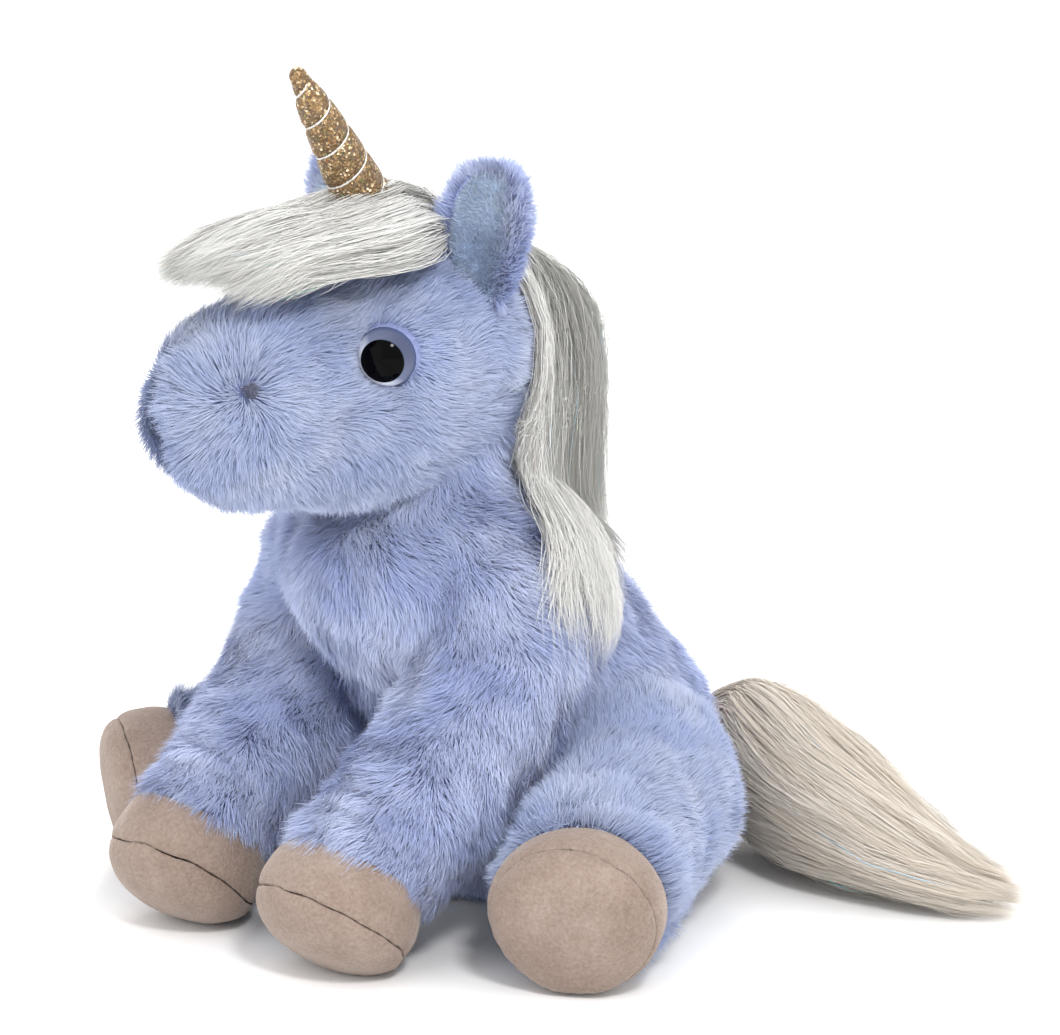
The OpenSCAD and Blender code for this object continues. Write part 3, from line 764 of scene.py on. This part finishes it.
def hoof_profile(heights, seam_at, more, hoof, axis, wide, deep, high, back):
    rows = []
    for h in heights:
        full = 2.0 + more * float(step(h, -4, 4))
        k = max(0.0004, 1 - (abs(h) / (high if h > 0 else back)) ** full) ** (1 / full)
        pinch = 0.3 * math.exp(-(((h - seam_at) / 0.6) ** 2)) - 0.3 * math.exp(-(((abs(h - seam_at) - 4)
            / 3.0) ** 2))
        rows.append([*(hoof + axis * h), max(0.5, wide * k - pinch), max(0.5, deep * k - pinch)])
    return rows


def puckered(form, centre, way, seam_at, seed):
    """Small folds that run into the seam, and a soft unevenness."""
    rel = form.v - centre
    h = rel @ way
    flat = rel - h[:, None] * way
    side = unit(np.cross(way, Z))
    angle = np.arctan2(flat @ side, flat @ np.cross(way, side))
    folds = np.sin(angle * 31 + 2 * np.sin(angle * 3 + seed)) * near(np.abs(h - seam_at), 1.6, 1.8)
    bend = (0.9 * wave(form.v, 22, 77) + 0.35 * wave(form.v, 8, 78)) * near(h, seam_at, 7)
    return Form(form.v + form.n * (0.16 * folds + 0.3 * wave(form.v, 24, seed)
        * (1 - near(h, seam_at, 4)))[:, None] + way * bend[:, None], form.f)


for name, (form, line, hoof, axis, side, aim) in legs.items():
    shape = (25, 24, 18, 5, 0.4, 25) if name.startswith("front") else (26, 24, 17, 8.8, 1.0, 22)
    wide, deep, high, seam_at, more, back = shape
    m = np.array([side, 1, 1])
    last = line[-1]
    kind = name.replace("_leg", "_hoof")
    sole = name.replace("_leg", "_sole")
    band = [[*(hoof + axis * h), wide * k, deep * k] for h, k in ((-9, 0.1), (-10.5, 0.4), (-12.5, 0.66))]
    band += hoof_profile(np.append(np.arange(-13, seam_at - 0.1, 0.5), seam_at), seam_at, more, hoof, axis,
        wide, deep, high, back)
    band += [[*(hoof + axis * (seam_at + d)), r, r * 0.96]
        for d, r in ((-0.6, wide * 0.8), (-3, wide * 0.5), (-4, 2))]
    cap = [[*(hoof + axis * (seam_at + d)), r, r * 0.96]
        for d, r in ((-2.4, 2), (-1.2, wide * 0.5), (0.3, wide * 0.8))]
    cap += hoof_profile(np.concatenate([np.arange(seam_at, high - 2, 0.5),
        high - 2 + 2 * np.sin(np.linspace(0, 1.57, 9))]), seam_at, more, hoof, axis, wide, deep, high, back)
    for piece, rows in ((kind, band), (sole, cap)):
        f = puckered(loft(mirrored(rows, side), aim, 96), hoof * m, axis * m, seam_at, 5 + len(name))
        v = f.v.copy()
        v[:, 2] = np.maximum(v[:, 2], LOWEST)
        dressed(new_object(piece + "_velour", v, f.f), velour.m, name, [piece])


# --- eyes, nostrils, ears ---

def frame_of(way):
    a = unit(np.cross(Z, way))
    return a, np.cross(way, a)


for side, word in SIDES:
    m = np.array([side, 1, 1])
    way, place = eye_way * m, eye_place * m
    a, b = frame_of(way)
    rings, around = 26, 64
    verts, rim, turn = [], [], []
    dome = (eye_radius ** 2 + eye_rise ** 2) / (2 * eye_rise)
    edge = math.asin(eye_radius / dome)
    profile = [(dome * math.sin(edge * i / rings), eye_rise - dome * (1 - math.cos(edge * i / rings)))
        for i in range(1, rings + 1)]
    profile += [(9.05, -0.6), (8.6, -1.2), (2.2, -1.3), (2.2, -14.0)]
    for r, h in profile:
        for k in range(around):
            t = 2 * math.pi * k / around
            verts.append(place + way * h + (a * math.cos(t) + b * math.sin(t)) * r)
            rim.append(min(r / eye_radius, 1.0) if h > -0.5 else 1.0)
            # turn sets where round the dome the iris carries its painted highlight
            turn.append(0.5 + 0.5 * (0.6 * math.sin(t) + 0.78 * side * math.cos(t)))
    verts += [place + way * eye_rise, place - way * 14.0]
    rim += [0.0, 1.0]
    turn += [0.5, 0.5]
    last = (len(profile) - 1) * around
    faces = ring_faces(len(profile), around)
    faces += [(len(verts) - 2, k, (k + 1) % around) for k in range(around)]
    faces += [(last + (k + 1) % around, last + k, len(verts) - 1) for k in range(around)]
    f = Form(verts, faces)
    ob = new_object("eye_" + word + "_dome", f.v, f.f)
    attribute(ob, "rim", rim)
    attribute(ob, "turn", turn)
    dressed(ob, eye_paint.m, "head", ["eye_" + word])
    nodes["eye_washer_" + word].data.materials.clear()
    nodes["eye_washer_" + word].data.materials.append(washer_paint.m)

    rng = np.random.default_rng(5)
    place = (nostril_place + [-0.6, 1.4, -0.2]) * m
    out = unit(np.array([0.62, -0.76, 0.18])) * m
    a, b = frame_of(out)
    loops = []
    for i in range(9):
        t = i * 0.7 + 0.2 * rng.normal()
        d = a * math.cos(t) + b * math.sin(t)
        o = (a * rng.normal() + b * rng.normal()) * 0.35
        s = np.linspace(-1, 1, 9)[:, None]
        loops.append(place - out * 0.6 + o + d * s * 2.1 + out * (1.7 * (1 - s ** 2) + 0.2 * rng.random()))
    loops = np.array(loops)
    dressed(strands("nostril_" + word + "_knot", loops, np.full(9, 0.55), rng.random(9), 6), knot_paint.m,
        "head", ["nostril_" + word])

ear_place = np.array([27.5, -58.5, 194])
ear_length, ear_half, cup_radius = 41, 12.5, 17.0
lean, turned = math.radians(12), math.radians(14)
ear_basis = np.array([[math.cos(lean), 0, math.sin(lean)], [0, 1, 0],
    [-math.sin(lean), 0, math.cos(lean)]]) @ np.array([[math.cos(turned), -math.sin(turned), 0],
    [math.sin(turned), math.cos(turned), 0], [0, 0, 1]])


def ear_sheet(inset, front, back, side, rows=30, cols=26, puff=0.0):
    """Closed leaf that is cupped about an upright axis in front of it, between two radii of the cup."""
    verts = []
    half = ear_half - inset
    for layer in (0, 1):
        for i in range(rows + 1):
            z = inset + (ear_length - 2 * inset) * (0.5 - 0.5 * math.cos(math.pi * i / rows))
            q = z / ear_length
            if q < 0.5:
                wide = half * (0.62 + 0.38 * math.sin(math.pi * min(q, 0.5)))
            else:
                middle = ear_length / 2
                wide = half * math.sqrt(max(0.0, 1 - ((z - middle) / (middle - inset)) ** 2.5))
            for k in range(cols + 1):
                u = -1 + 2 * k / cols
                s = wide * math.sin(u * math.pi / 2)
                swell = puff * (1 - u * u) * math.sin(math.pi * min(1, q * 1.02))
                r = (front - swell) if layer == 0 else back
                edge = max(abs(math.sin(u * math.pi / 2)), step(np.array([q]), 0.9, 1.0)[0],
                    1 - step(np.array([q]), 0, 0.05)[0])
                r = r + ((front + back) / 2 - r) * max(0.0, edge - 0.9) * 8
                phi = s / cup_radius
                verts.append([r * math.sin(phi) * side, r * math.cos(phi) - cup_radius, z])
    n = (rows + 1) * (cols + 1)
    c = cols + 1
    faces = []
    for i in range(rows):
        for k in range(cols):
            q = (i * c + k, i * c + k + 1, (i + 1) * c + k + 1, (i + 1) * c + k)
            faces += [q, tuple(n + x for x in reversed(q))]
    border = list(range(cols)) + [i * c + cols for i in range(rows)]
    border += [rows * c + k for k in range(cols, 0, -1)] + [i * c for i in range(rows, 0, -1)]
    faces += [(b, a, n + a, n + b) for a, b in zip(border, border[1:] + border[:1])]
    v = np.array(verts)
    v[:, 0] *= side
    v = v @ ear_basis.T + ear_place
    v[:, 0] *= side
    return Form(v, faces)


for side, word in SIDES:
    m = np.array([side, 1, 1])
    body = "ear_" + word
    back = ear_sheet(1.2, 18.2, 20.4, side)
    front = ear_sheet(2.6, 16.6, 18.6, side, puff=0.8)
    dressed(new_object(body + "_shell", back.v, back.f), backing_painted_shade.m, body, [body + "_back"])
    dressed(new_object(body + "_velour", front.v, front.f), lining.m, body,
        [body + "_lining"])
    up, ahead, across = ear_basis @ Z, ear_basis @ -Y, ear_basis @ X

    def local(p):
        q = p.copy()
        q[:, 0] *= side
        return (q - ear_place) @ ear_basis

    def ear_keep(p):
        q = local(p)
        r = np.hypot(q[:, 0], q[:, 1] + cup_radius)
        return (r > 18.9) | (q[:, 0] > 5.5 + 1.5 * wave(p, 7, 3)) | (q[:, 0] < -10.5) | (q[:, 2] > 35)

    def ear_flow(p, n):
        q = local(p)
        f = up[None] * (0.5 + 0.5 * step(q[:, 2], 0, 25)[:, None])
        f = f + across[None] * (q[:, 0] / 12)[:, None] * 0.9 + ahead[None] * 0.25
        return f * m

    lay_fur(body + "_fur", body, fur(back, FUR_DENSITY * 1.5, ear_flow, lambda p: np.full(len(p), 7.0), 51,
        ear_keep, lean=(34, 58)))
    lay_fur(body + "_pile", body, fur(front, FUR_DENSITY * 1.8, ear_flow, lambda p: np.full(len(p), 2.6),
        57, lambda p: np.hypot(local(p)[:, 0], local(p)[:, 1] + cup_radius) < 17.8, lean=(20, 45)),
        paint=ear_pile)


# --- horn ---

horn_base, horn_top = 10.5, 66.2


def horn_radius(h):
    cone = horn_base - 6.7 * h / horn_top + 0.5 * math.sin(math.pi * min(1, max(0, h / horn_top)))
    return cone * (1 - 0.32 * math.exp(-(((horn_top - h) / 6) ** 2)))


horn_x, horn_y = X, np.cross(horn_way, X)
pitch, low = 52 / 5, 12.0
rows, around = 150, 72
verts = []
for i in range(rows + 1):
    h = -6 + 72.2 * i / rows
    for k in range(around):
        t = 2 * math.pi * k / around
        phase = ((h - low) / pitch - k / around + 0.5) % 1 - 0.5
        pinch = 0.7 * math.exp(-((phase * pitch / 1.1) ** 2)) * float(step(np.array([h]), low - 3,
            low + 1)[0] * (1 - step(np.array([h]), 63, 65)[0]))
        r = horn_radius(h) - pinch + 0.1
        if h < 0:
            r = max(0.6, math.sqrt(max(0, horn_base ** 2 - (h * 1.5) ** 2)))
        verts.append(horn_place + horn_way * h + (horn_x * math.cos(t) + horn_y * math.sin(t)) * r)
for i in range(1, 9):
    a = math.pi / 2 * i / 9
    for k in range(around):
        t = 2 * math.pi * k / around
        verts.append(horn_place + horn_way * (horn_top + 2.8 * math.sin(a))
            + (horn_x * math.cos(t) + horn_y * math.sin(t)) * 2.7 * math.cos(a))
total = rows + 9
verts += [horn_place - horn_way * 6, horn_place + horn_way * 69]
faces = [(i * around + k, i * around + (k + 1) % around, (i + 1) * around + (k + 1) % around,
    (i + 1) * around + k) for i in range(total - 1) for k in range(around)]
faces += [((k + 1) % around, k, total * around) for k in range(around)]
faces += [((total - 1) * around + k, (total - 1) * around + (k + 1) % around, total * around + 1)
    for k in range(around)]
horn_form = Form(verts, faces)
dressed(new_object("horn_knit", horn_form.v, horn_form.f), horn_paint.m, "horn",
    ["horn_cover", "horn_filling"])

turns = np.linspace(0, 5, 5 * 40 + 1)
cords = []
for shift in (-0.14, 0.14):
    h = low + pitch * turns
    r = np.array([horn_radius(x) for x in h]) - 0.4
    t = 2 * math.pi * turns
    cords.append(horn_place + horn_way * (h + shift)[:, None]
        + (horn_x * np.cos(t)[:, None] + horn_y * np.sin(t)[:, None]) * r[:, None])
dressed(strands("horn_thread_wound", np.array(cords), np.full(201, 0.16), np.array([0.3, 0.8]), 8),
    thread_paint.m, "horn", ["horn_thread"])


# --- long hair ---

def hair(roots, points, seed, steps=9, curl=1.0, tufts=40, pull=0.55, avoid=()):
    """Long strands through control points (count, controls, 3), gathered into locks with a slight wave."""
    rng = np.random.default_rng(seed)
    c = np.concatenate([roots[:, None], points], 1)
    count, k = c.shape[:2]
    s = np.linspace(0, k - 1, steps)
    i = np.minimum(s.astype(int), k - 2)
    t = (s - i)[None, :, None]
    a, b, d, e = c[:, np.maximum(i - 1, 0)], c[:, i], c[:, i + 1], c[:, np.minimum(i + 2, k - 1)]
    path = spline(a, b, d, e, t)
    heads = rng.permutation(count)[:tufts]
    mine = nearest_head(path[:, steps // 2], heads)
    along = np.linspace(0, 1, steps)[None, :, None]
    share = pull * rng.uniform(0.3, 1.2, (count, 1, 1)) * along ** 1.2
    path += share * (path[heads][mine] - path)
    ways = rng.normal(size=(count, 2, 3)) * np.where(rng.random(count) < 0.07, 3.2, 1.0)[:, None, None]
    swing = rng.normal(size=(len(heads), 2, 3))[mine]
    for n, freq in ((0, 1.3), (1, 3.1)):
        beat = np.sin(2 * math.pi * (freq * along + rng.random((count, 1, 1))))
        lock_beat = np.sin(2 * math.pi * (freq * along + rng.random((len(heads), 1, 1))[mine]))
        path += curl * along * (beat * ways[:, n, None] * (0.9, 0.35)[n]
            + lock_beat * swing[:, n, None] * (1.0, 0.5)[n])
    rise = rng.uniform(-1.5, 2.5, (count, 1)) * np.ones(steps - 2)
    for form, gap in avoid:
        path[:, 2:] = form.pushed(path[:, 2:], gap + (rise if gap > 2 else 0))
    return path, 0.5 * rng.random(len(heads))[mine] + 0.5 * rng.random(count)


def lay_hair(name, body, made, paint, core=None, facing=None, width=HAIR_WIDTH, stands_for=(),
        blend=None):
    path, shade = made
    count, steps = path.shape[:2]
    taper = width * np.concatenate([[0.8, 1.0], np.linspace(1, 0.4, steps - 2)])
    outward = unit(path.mean(1) - np.array(core)) if core is not None else facing
    outward = unit(outward + 0.25 * np.random.default_rng(count).normal(size=outward.shape))
    parts = max(1, math.ceil(count * (2 * steps - 3) / LIMIT))
    out = []
    for i in range(parts):
        ob = blades(f"{name}_{i + 1}", path[i::parts], taper, outward[i::parts], shade[i::parts])
        ob.data.materials.append(paint)
        if blend:
            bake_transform(ob)
        else:
            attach(ob, body)
        if stands_for and i == 0:
            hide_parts(*stands_for)
        out.append(ob)
    return out


rng = np.random.default_rng(71)
count = int(21000 * HAIR_SHARE)
u = np.sign(rng.uniform(-1, 1, count)) * rng.random(count) ** 0.8
v = rng.random(count)
long = rng.random(count) ** 0.6
y0 = rng.uniform(-80, -34, count)
y0 = np.where((np.abs(u) < 0.55) & (y0 > -78) & (rng.random(count) < 0.6), rng.uniform(-92, -78, count), y0)
y0 = np.where(np.abs(u) > 0.4, np.minimum(y0, -57 - 8 * rng.random(count)), y0)
x0 = u * 13
roots = head_top.pushed(np.stack([x0, y0, np.full(count, 214.0)], 1), 0.2) - [0, 0, 3.5]
spread = 1 + 0.1 * rng.normal(size=count)
reach = -106 - 54 * long * (1 - 0.35 * np.abs(u) ** 2)
y1 = np.minimum(y0 - 13, -66)
behind = step(y0, -74, -50)
p1 = np.stack([24.5 * u * spread, y1, 213 + (10 + 4 * behind) * v - 8 * u ** 2 + 2 * behind], 1)
p2 = np.stack([25 * u * spread, y1 * 0.45 + reach * 0.55, 212 + 9 * v - 7 * u ** 2], 1)
p3 = np.stack([19 * u + 4 * rng.normal(size=count), reach,
    209 + 8 * v - 4 * u ** 2 + 2.5 * rng.normal(size=count) - 5 * long], 1)
forelock = hair(roots, np.stack([p1, p2, p3], 1), 72, 9, 0.7, 120, 0.35, [(head_top, 5.0), (horn_form, 0.5)])
lay_hair("forelock_hair", "head", forelock, hair_paint, (0, -100, 185), stands_for=["forelock"])

count = int(17000 * HAIR_SHARE)
crest = smooth([[0, -46, 213], [0, -30, 209], [0, -18, 200], [0, -10, 186], [0, -8, 172]], 8)
q = rng.random(count)
side = np.where(rng.random(count) < 0.5, -1.0, 1.0)
v = rng.random(count)
crest_at = np.clip(1 - q + 0.16 * rng.normal(size=count), 0, 0.999) * (len(crest) - 1)
station = crest_at.astype(int)
root = crest[station] + (crest[station + 1] - crest[station]) * (crest_at - station)[:, None]
root[:, 0] = side * (-2 + 16 * rng.random(count))
roots = head_top.pushed(root, 0.0)
p2 = np.stack([side * (33 * q ** 0.6 + 3 * v) + 2.5 * rng.normal(size=count), 8 - 53 * q ** 1.6 + 4 * v,
    166 - 6 * q + 4 * rng.normal(size=count)], 1)
p1 = 0.55 * roots + 0.45 * p2 + np.stack([side * 3 * q, 4 + 4 * (1 - q), 7 - 2 * v], 1)
p3 = np.stack([side * (32 * q ** 0.6 + 7 * v) + 4 * rng.normal(size=count), 5 - 57 * q ** 1.6 + 4 * v,
    100 + 14 * q + 62 * rng.random(count) ** 1.5], 1)
mane_top = hair(roots, np.stack([p1, p2, p3], 1), 82, 9, 0.7, 130, 0.38,
    [(head_top, 4.5), (torso_top, 6.0)] + [(f, 6.0) for f in fore_tops])
lay_hair("mane_hair", "head", mane_top, hair_paint, (0, -52, 165), stands_for=["mane"])

count = int(17000 * HAIR_SHARE)
side = np.where(rng.random(count) < 0.5, -1.0, 1.0)
v, wide = rng.random(count), rng.random(count) * np.where(side > 0, 1, 0.72)
w = wide[:, None]
m = np.stack([side, np.ones(count), np.ones(count)], 1)


def fan(back, front, jitter):
    """Points between a place at the back of the neck and one over the shoulder."""
    return m * (np.array(back) * (1 - w) + np.array(front) * w + np.array([2.5, 3, 0]) * v[:, None]
        + jitter * rng.normal(size=(count, 3)))


roots = fan((-1, -14, 158), (20, -38, 160), 2.5)
p1 = fan((-2, -5, 133), (37, -46, 136), 2.0)
p2 = fan((-1, 1, 116), (47, -56, 119), 2.0)
low_share = rng.random(count)[:, None] ** 1.2
p3 = fan((4, 8, 104), (57, -64, 104), 3.0) - low_share * m * [-5, 0, 28]
drop = (0.48 + 0.52 * rng.random(count) ** 0.8)[:, None]
mane_low = hair(roots, np.stack([roots + (p - roots) * drop for p in (p1, p2, p3)], 1), 92, 9, 0.7, 120,
    0.38, [(torso_top, 6.5), (head_top, 4.0)] + [(f, 6.5) for f in fore_tops])
lay_hair("mane_fall_hair", "torso", mane_low, hair_paint, (0, -50, 115),
    stands_for=["mane_fall"], blend=("torso", "neck", (0, 0, 0.118), (0, 0, 0.152)))

tail_line = smooth([[3, 62.8, 33, 4, 4], [12, 67.5, 33, 9, 15], [26, 68, 31, 17, 24], [44, 62, 28, 22, 26],
    [65, 54, 25.5, 25, 25], [88, 49, 21, 24, 21], [113, 51, 14, 20, 14], [130, 56, 9, 16, 9],
    [146, 63, 7, 12, 6]], 6)
centre = tail_line[:, :3]
way = tangents(centre)
deep = unit(Z - way * way[:, 2:])
cross = np.cross(deep, way)
count = int(22000 * HAIR_SHARE)
angle, r = rng.uniform(0, 2 * math.pi, count), rng.random(count) ** 0.42
ca, sa = r * np.cos(angle), r * np.sin(angle)
end = (0.42 + 0.58 * rng.random(count) ** 1.25) * (len(centre) - 1)
begin = rng.uniform(0, 2, count)
steps = 11
k = begin[:, None] + (end - begin)[:, None] * np.linspace(0, 1, steps)[None]
i = np.minimum(k.astype(int), len(centre) - 2)
t = (k - i)[..., None]


def between(a):
    return a[i] + (a[i + 1] - a[i]) * t


size = between(tail_line[:, 3:])
made = between(centre) + between(cross) * (size[..., :1] * ca[:, None, None])
made = made + between(deep) * (size[..., 1:] * sa[:, None, None])
tufts = rng.permutation(count)[:170]
mine = nearest_head(made[:, 6], tufts)
along = np.linspace(0, 1, steps)[None, :, None]
made += 0.5 * rng.uniform(0.3, 1.2, (count, 1, 1)) * along ** 1.3 * (made[tufts][mine] - made)
for freq, own, shared in ((1.2, 0.8, 2.0), (2.7, 0.4, 1.0)):
    own_beat = np.sin(2 * math.pi * (freq * along + rng.random((count, 1, 1))))
    own_beat = own_beat * rng.normal(size=(count, 1, 3)) * own
    shared_beat = np.sin(2 * math.pi * (freq * along + rng.random((len(tufts), 1, 1))[mine]))
    shared_beat = shared_beat * rng.normal(size=(len(tufts), 1, 3))[mine] * shared
    made += along * (own_beat + shared_beat)
stray = np.where(rng.random(count) < 0.08, 3.0, 0.0)[:, None, None] * rng.normal(size=(count, 1, 3))
made += along ** 2 * stray
made[..., 2] = np.maximum(made[..., 2], 0.6)
made[:, 2:] = torso_top.pushed(made[:, 2:], 2.0)
outward = unit(made[:, 5] - centre[np.clip(k[:, 5].astype(int), 0, len(centre) - 1)])
lay_hair("tail_strands", "tail", (made, 0.5 * rng.random(len(tufts))[mine] + 0.5 * rng.random(count)),
    tail_paint, facing=outward, stands_for=["tail_hair"])
nodes["tail_base"].data.materials.clear()
nodes["tail_base"].data.materials.append(backing_painted_shade.m)

for name, body, source, number in (("forelock", "head", forelock[0], 22), ("mane", "head", mane_top[0], 22),
        ("tail", "tail", made, 40)):
    pick = rng.permutation(len(source))[:number]
    path = source[pick] + rng.normal(size=(number, 1, 3)) * 0.8
    path[:, -1] += rng.normal(size=(number, 3)) * 2.5
    path = path + (path - path.mean(0)) * 0.02
    path[..., 2] = np.maximum(path[..., 2], 0.6)
    ob = strands(name + "_tinsel", path, np.full(path.shape[1], 0.11), rng.random(number))
    dressed(ob, tinsel_paint.m, body)


# --- camera, floor and light ---

scene = bpy.context.scene
scene.view_settings.view_transform = "Standard"
target = Vector((0, -0.008, 0.115))
az, el = math.radians(45), math.radians(12.2)
camera_away, view_width = 1.3, 0.3339  # metres to the target, and seen across it
camera = bpy.data.cameras.new("camera")
camera.sensor_width = 36
camera.lens = camera.sensor_width * camera_away / view_width
camera.clip_start, camera.clip_end = 0.05, 50
eye = bpy.data.objects.new("camera", camera)
eye.location = target + camera_away * Vector((math.sin(az) * math.cos(el), -math.cos(az) * math.cos(el),
    math.sin(el)))
eye.rotation_euler = (target - eye.location).to_track_quat("-Z", "Y").to_euler()
scene.collection.objects.link(eye)
scene.camera = eye

world = bpy.data.worlds.new("studio")
world.use_nodes = True
world.node_tree.nodes["Background"].inputs["Color"].default_value = (1, 1, 1, 1)
world.node_tree.nodes["Background"].inputs["Strength"].default_value = 1.34
scene.world = world

floor_paint = Paint("floor", 0.9)
floor_paint.shader.inputs["Base Color"].default_value = (0.93, 0.93, 0.93, 1)
floor = new_object("floor", [(-3000, -3000, 0), (3000, -3000, 0), (3000, 3000, 0), (-3000, 3000, 0)],
    [(0, 1, 2, 3)], False)
floor.data.materials.append(floor_paint.m)


def lamp(name, place, size, power, colour=(1, 1, 1)):
    data = bpy.data.lights.new(name, "AREA")
    data.shape, data.size, data.energy, data.color = "DISK", size, power, colour
    ob = bpy.data.objects.new(name, data)
    ob.location = place
    ob.rotation_euler = (Vector((0, -0.03, 0.12)) - Vector(place)).to_track_quat("-Z", "Y").to_euler()
    scene.collection.objects.link(ob)


lamp("key", (0.95, -0.55, 1.05), 0.25, 10)
lamp("fill", (-0.2, -1.3, 0.4), 1.6, 3, (0.9, 0.95, 1.0))
lamp("back", (-0.9, 0.7, 1.0), 0.6, 6)
